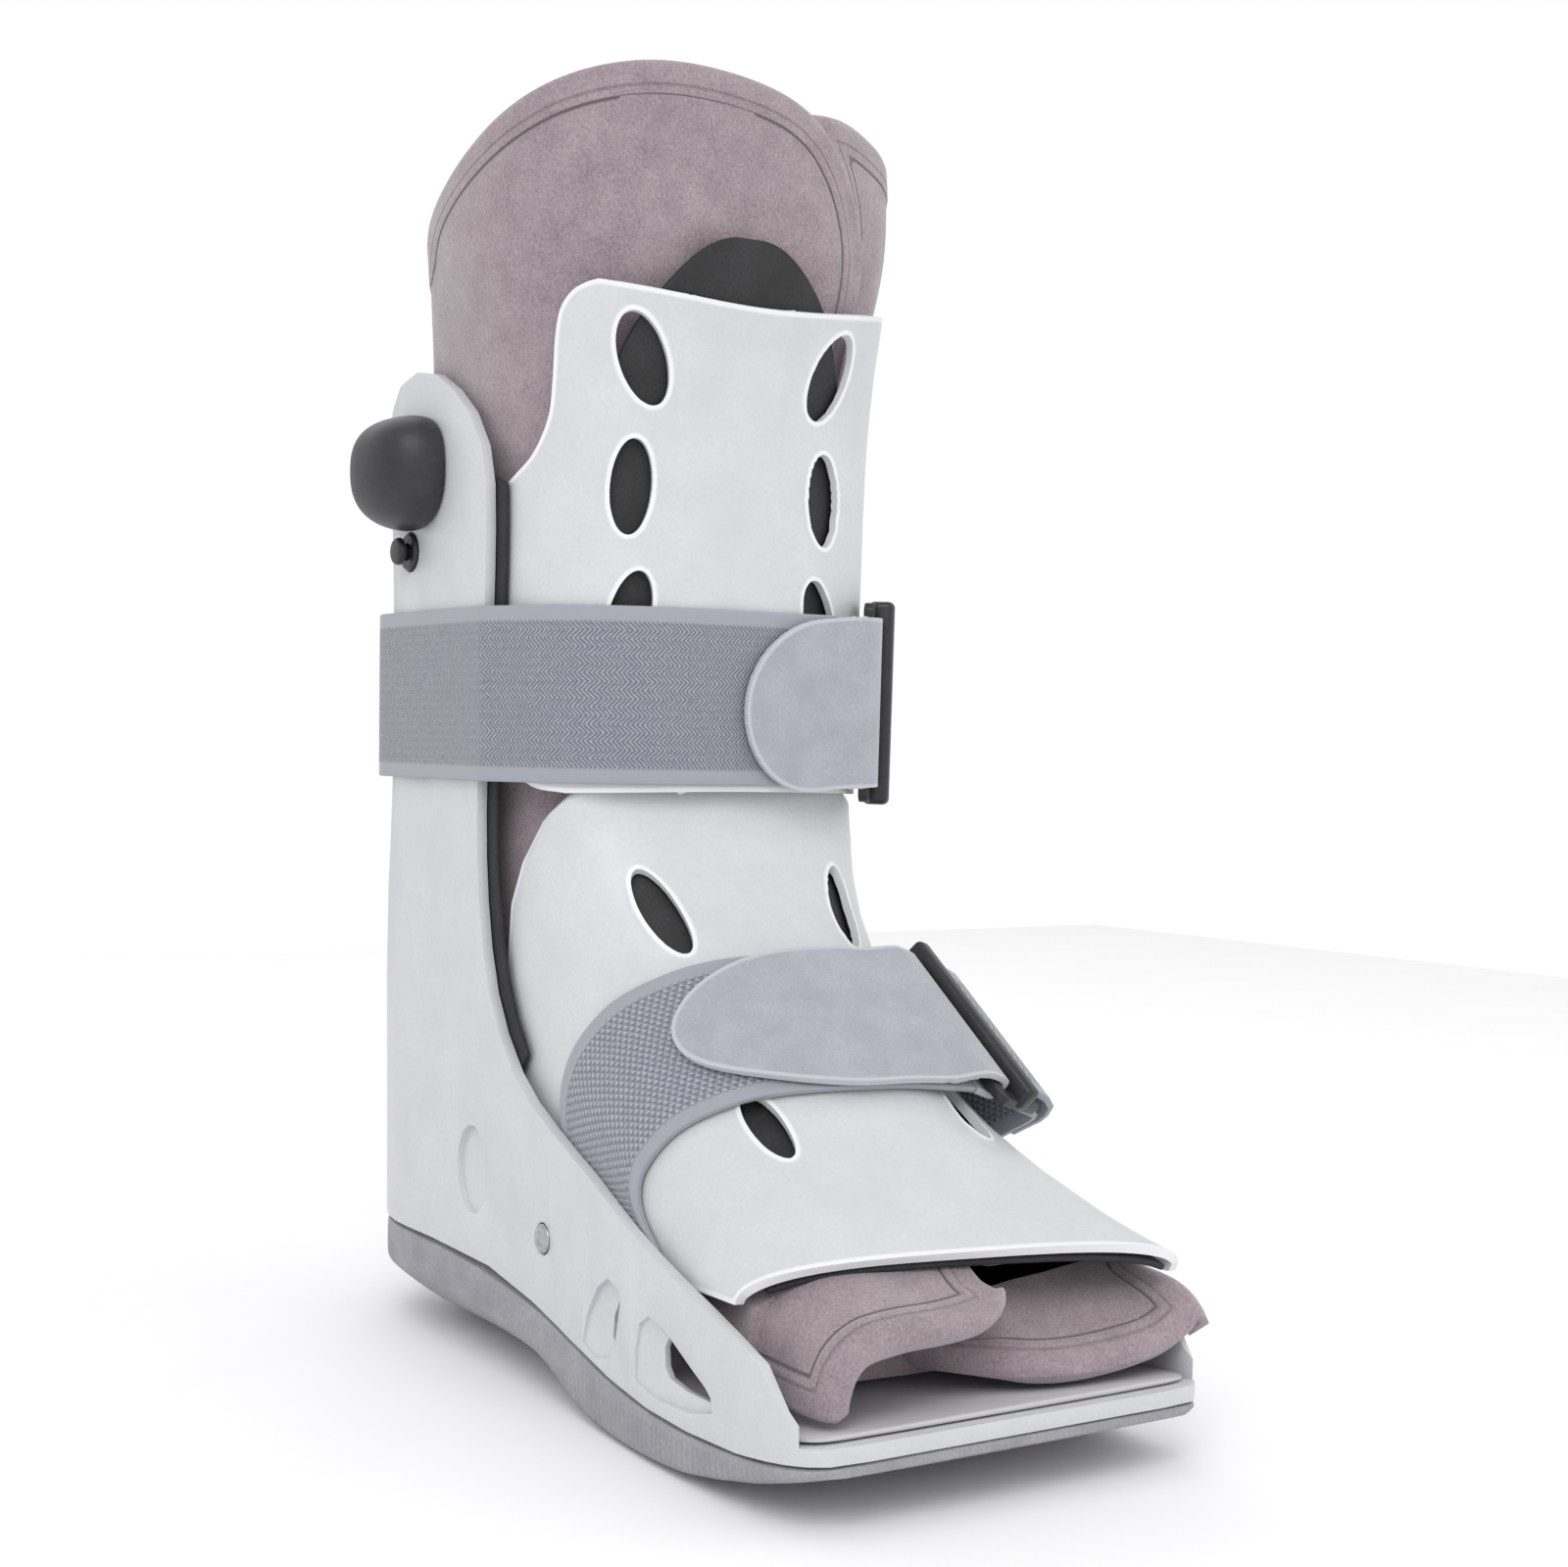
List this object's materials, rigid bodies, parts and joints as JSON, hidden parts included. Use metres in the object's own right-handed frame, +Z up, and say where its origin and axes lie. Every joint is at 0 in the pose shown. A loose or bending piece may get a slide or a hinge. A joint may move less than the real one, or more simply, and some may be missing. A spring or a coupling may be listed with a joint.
{
  "type": "walking boot",
  "caption": "Tall moulded walking boot with a rocker sole, vented front plates, a padded open-toe liner, ring-and-hook straps and an air pump bulb.",
  "frame": {"origin": "middle of the flat tread, on the floor, near the line of the leg's axis", "axes": "+Z up the leg, the toe points to -Y, the air bulb is on the -X side"},
  "size_m": [0.1466, 0.274, 0.3578],
  "materials": {
    "shell": "smooth satin moulded plastic",
    "sole_rubber": "matt moulded rubber",
    "loop_lining": "loop fabric",
    "plush": "short plush over foam",
    "pad": "smooth coated fabric over an air cell",
    "webbing": "knitted loop webbing",
    "hook_tab": "brushed hook tape",
    "slide": "moulded plastic",
    "bulb": "satin rubber",
    "snap": "satin metal"
  },
  "bodies": {
    "boot": {"base_shell": "shell", "outsole": "sole_rubber", "insole": "loop_lining", "shin_shell": "shell", "instep_shell": "shell", "liner": "plush", "shin_pad": "pad", "instep_pad": "pad", "side_pad_left": "pad", "side_pad_right": "pad", "upper_strap": "webbing", "upper_tab": "hook_tab", "upper_ring": "slide", "lower_strap": "webbing", "lower_tab": "hook_tab", "lower_ring": "slide", "lower_anchor": "webbing", "pump_bulb": "bulb", "valve_seat": "slide", "rivet_left": "snap", "rivet_right": "snap"},
    "button": {"valve_button": "slide"}
  },
  "joints": [
    {"name": "valve_press", "type": "slide", "parent": "boot", "child": "button", "axis": [1, 0, 0], "range_m": [0, 0.0015], "stiffness_N_per_m": 300}
  ]
}
